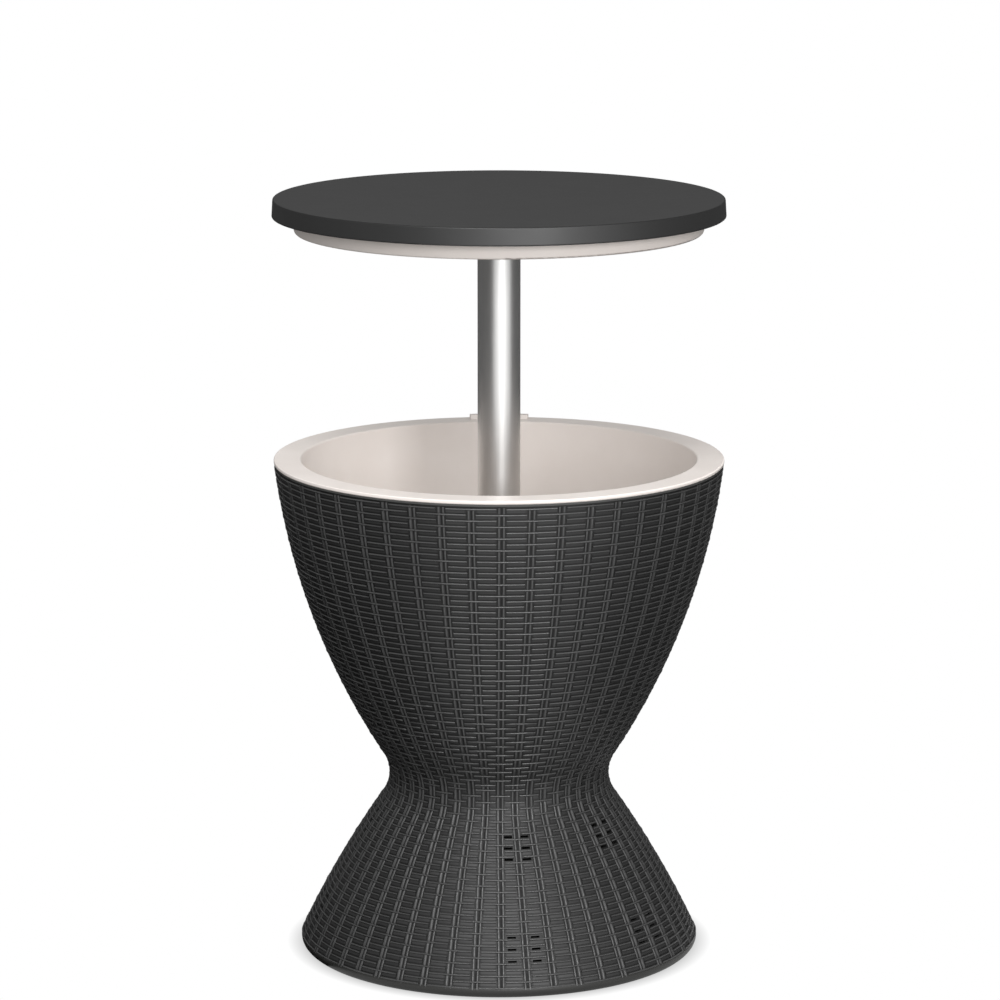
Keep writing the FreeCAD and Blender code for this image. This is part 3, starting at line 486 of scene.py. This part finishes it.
# The plating has a faint cloudy sheen.
zinc_steel = metal("steel_zinc_plated", STEEL_SHADES, roughness=0.34,
                   spacing=PLATING_CLOUDS, stretch=1, grain=0.05)
coat(zinc_steel, "base_screws", "post_flange", "post_screws", "post_pin", "cam_washer", "cam_screw",
     "tube_screws", "head_screws", "tabletop_screws")

# Ice bucket and drain: off-white polypropylene, moulded smooth so that it wipes clean. The bucket drops into
# the body shell, and its ring hides the shell's edge. The drain is screwed together through its floor.
WHITE_SHADES = ("#ddd5cf", "#e4ddd8")

# A warm white with a soft sheen, in which the tube and the lamps show only as broad blurs.
white_resin = moulded("white_polypropylene_moulded", WHITE_SHADES, roughness=0.38, grain=0.05)
coat(white_resin, "ice_bucket", "drain_fitting", "drain_nut")

# Seals and stopper: black rubber, moulded. The flat seals lie under the post's flange and round the drain,
# and the stopper is pressed into the drain from above.
RUBBER_SHADES = ("#1b1b1b", "#232322")

# Matt and a little dusty, so that it hardly shines.
black_rubber = moulded("black_rubber_moulded", RUBBER_SHADES, roughness=0.7, ior=1.52, grain=0.25)
coat(black_rubber, "post_gasket", "drain_gasket", "drain_plug")

# Post and tube: drawn aluminium, brushed lengthwise. The post stands in the flange's socket, and the tube
# slides over it and carries the tabletop.
ALUMINIUM_SHADES = ("#d2d2d1", "#e0e0df")
BRUSH_SPACING = 0.0007      # real brush lines are about 0.05 mm apart; drawn this coarse so that they show
BRUSH_STRETCH = 0.01

# The brushing draws the lamps out into one soft upright stripe.
brushed_aluminium = metal("aluminium_brushed_lengthwise", ALUMINIUM_SHADES, roughness=0.35,
                          spacing=BRUSH_SPACING, stretch=BRUSH_STRETCH, grain=0.08)
coat(brushed_aluminium, "inner_post", "outer_tube")

# Twist lock, bush and pole head: black nylon, moulded. The lock sits on the post's plug, the bush in the
# tube's lower end, and the head joins the tube to the tabletop.
NYLON_SHADES = ("#202020", "#292928")

# A little duller than the polypropylene.
black_nylon = moulded("black_nylon_moulded", NYLON_SHADES, roughness=0.5, ior=1.53)
coat(black_nylon, "cam_plug", "lock_ring", "guide_bush", "pole_head")

# Tabletop: a black polypropylene cover with a skirt, moulded in one, and screwed from below to a shallow pan
# in the bucket's white plastic.
TOP_SHADES, SKIRT_PAINTED_LIGHT = ("#191919", "#1f1f1f"), "#282828"

# A fine texture keeps the top from glaring, and the skirt's upright faces take a lighter shade, which is
# painted light.
top_resin = moulded("black_polypropylene_fine_texture", TOP_SHADES, roughness=0.46, grain=0.1,
                    upright_light=SKIRT_PAINTED_LIGHT)
coat(top_resin, "tabletop_cover")
coat(white_resin, "tabletop_underside")

# Floor, light and camera: white paper that fades into a white surround, and three soft lamps. Grey screens
# at the sides, behind and above, and two dark cards on the floor, show only as reflections in the table.
FLOOR_RADIUS, FLOOR_FACETS = 3.0, 96
FLOOR_SHADE = "#383838"
SHADOW_REACH = (0.185, 0.238)       # radii between which the dark floor under the foot turns white
ROOM_LIGHT = 0.72
LEFT, RIGHT, FRONT, BACK, CEILING = -1.25, 1.25, -2.5, 2.2, 3.2
RIGHT_FRONT = -0.65                 # the right screen starts further back, which leaves that side brighter
CARD_LEVEL = 0.001
SCREENS = (
    ("left", "#646464", (
        (LEFT, FRONT, 0), (LEFT, BACK, 0), (LEFT, FRONT, CEILING), (LEFT, BACK, CEILING))),
    ("right", "#646464", (
        (RIGHT, RIGHT_FRONT, 0), (RIGHT, BACK, 0), (RIGHT, RIGHT_FRONT, CEILING), (RIGHT, BACK, CEILING))),
    ("back", "#606060", (
        (LEFT, BACK, 0), (RIGHT, BACK, 0), (LEFT, BACK, CEILING), (RIGHT, BACK, CEILING))),
    ("above", "#8c8c8c", (
        (LEFT, FRONT, CEILING), (RIGHT, FRONT, CEILING), (LEFT, BACK, CEILING), (RIGHT, BACK, CEILING))),
    ("card_left", "#101010", (
        (LEFT, -2.0, CARD_LEVEL), (-0.2, -0.25, CARD_LEVEL),
        (LEFT, BACK, CARD_LEVEL), (0, BACK, CARD_LEVEL))),
    ("card_right", "#202020", (
        (RIGHT, -1.4, CARD_LEVEL), (0.3, -0.2, CARD_LEVEL),
        (RIGHT, BACK, CARD_LEVEL), (0, BACK, CARD_LEVEL))),
)
LAMPS = (       # name, place, width and height, watts
    ("front_light", (1.0, -3.4, 1.5), (1.7, 1.3), 80),
    ("high_light", (-0.35, -1.8, 2.6), (1.2, 1.2), 44),
    ("back_light", (0, 3.4, 2.0), (2.2, 1.6), 8),
)
LAMPS_FACE = (0, 0, 0.42)
CAMERA_PLACE, CAMERA_TILT = (0.0011, -4.556, 1.421), math.radians(78.6)     # fitted to the photograph
LENS, SENSOR_WIDTH = 151.65, 36


def seen_directly(owner):
    """1 for rays from the camera, a mirror or glass, and 0 for the light that falls on the table."""
    rays = add(owner, "LightPath", {}).outputs
    either = add(owner, "Math", {0: rays["Is Camera Ray"], 1: rays["Is Glossy Ray"]}, operation="MAXIMUM")
    either = add(owner, "Math", {0: either.outputs[0], 1: rays["Is Transmission Ray"]}, operation="MAXIMUM")
    return either.outputs[0]


bpy.ops.mesh.primitive_circle_add(vertices=FLOOR_FACETS, radius=FLOOR_RADIUS, fill_type="TRIFAN")
floor = bpy.context.object
floor.name = "floor"
paper = blank("white_paper")
place = add(paper, "TexCoord", {}).outputs["Object"]
away = add(paper, "VectorMath", {0: place}, operation="LENGTH").outputs["Value"]
fade = add(paper, "MapRange", {"Value": away, "From Min": SHADOW_REACH[0], "From Max": SHADOW_REACH[1]})
whiteness = add(paper, "Math", {0: fade.outputs["Result"], 1: seen_directly(paper)}, operation="MULTIPLY")
matt = add(paper, "BsdfDiffuse", {"Color": linear(FLOOR_SHADE)})
bright = add(paper, "Emission", {"Color": (1, 1, 1, 1)})
sheet = add(paper, "MixShader", {0: whiteness.outputs[0], 1: matt.outputs[0], 2: bright.outputs[0]})
add(paper, "OutputMaterial", {"Surface": sheet.outputs[0]})
floor.data.materials.append(paper)

surround = bpy.data.worlds.new("surround")
bpy.context.scene.world = surround
surround.use_nodes = True
surround.node_tree.nodes.clear()
strength = add(surround, "MapRange", {"Value": seen_directly(surround), "To Min": ROOM_LIGHT})
white = add(surround, "Background", {"Strength": strength.outputs["Result"], "Color": (1, 1, 1, 1)})
add(surround, "OutputWorld", {"Surface": white.outputs[0]})

for name, shade, corners in SCREENS:
    bpy.ops.mesh.primitive_plane_add(size=1)
    screen = bpy.context.object
    screen.name = f"screen_{name}"
    for vertex, corner in zip(screen.data.vertices, corners):
        vertex.co = corner
    screen.visible_camera = screen.visible_diffuse = screen.visible_shadow = False
    grey = blank(screen.name)
    add(grey, "OutputMaterial", {"Surface": add(grey, "Emission", {"Color": linear(shade)}).outputs[0]})
    screen.data.materials.append(grey)

for name, place, size, watts in LAMPS:
    light = bpy.data.lights.new(name, "AREA")
    light.shape = "RECTANGLE"
    light.size, light.size_y = size
    light.energy = watts
    lamp = bpy.data.objects.new(name, light)
    bpy.context.scene.collection.objects.link(lamp)
    lamp.location = place
    x, y, z = (LAMPS_FACE[axis] - place[axis] for axis in range(3))
    lamp.rotation_euler = (math.atan2(math.hypot(x, y), -z), 0, math.atan2(-x, y))

camera = bpy.data.objects.new("camera", bpy.data.cameras.new("camera"))
bpy.context.scene.collection.objects.link(camera)
camera.location = CAMERA_PLACE
camera.rotation_euler = (CAMERA_TILT, 0, 0)
camera.data.lens = LENS
camera.data.sensor_width = SENSOR_WIDTH
bpy.context.scene.camera = camera
bpy.context.scene.view_settings.view_transform = "Standard"
